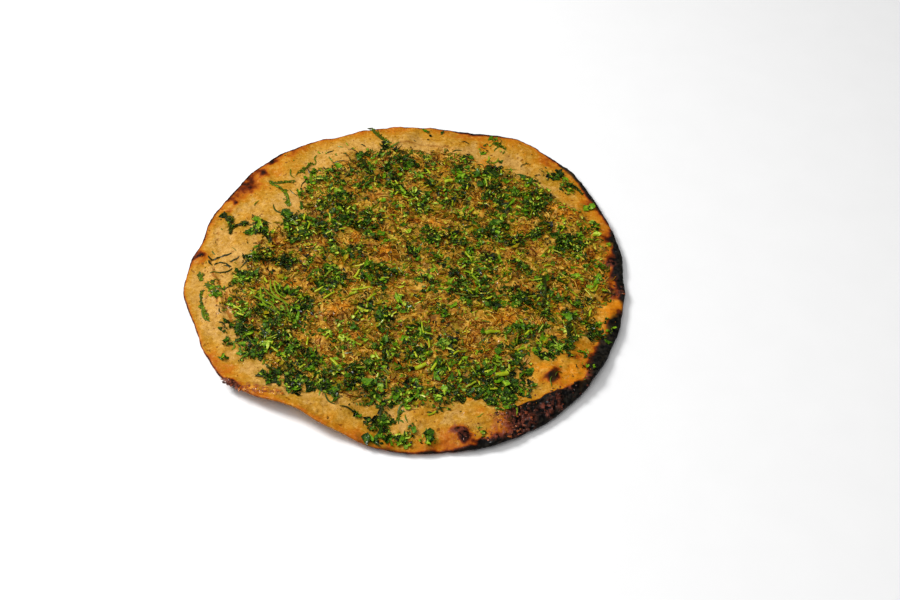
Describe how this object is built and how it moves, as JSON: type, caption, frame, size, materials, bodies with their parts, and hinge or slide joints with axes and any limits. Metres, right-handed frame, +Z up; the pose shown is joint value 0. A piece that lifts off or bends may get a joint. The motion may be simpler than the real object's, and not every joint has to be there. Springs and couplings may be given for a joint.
{
  "type": "tandoori paratha",
  "caption": "Round oven-baked flatbread with chopped green coriander and browned shreds baked onto its top, charred along one side.",
  "frame": {"origin": "on the surface that the bread rests on, under the middle of its outline's box", "axes": "+Z up out of the topped face, +Y to the bread's far side as it lies before a diner, +X to its right, where the rim is charred"},
  "size_m": [0.249, 0.2502, 0.0114],
  "materials": {
    "baked_dough": "baked dough, matt with an oily sheen, browned and charred at the rim",
    "coriander": "wilted green leaf, satin with oil",
    "browned_shreds": "dry browned shreds, satin"
  },
  "bodies": {
    "root": {"tandoori_paratha": "baked_dough"}
  },
  "joints": []
}
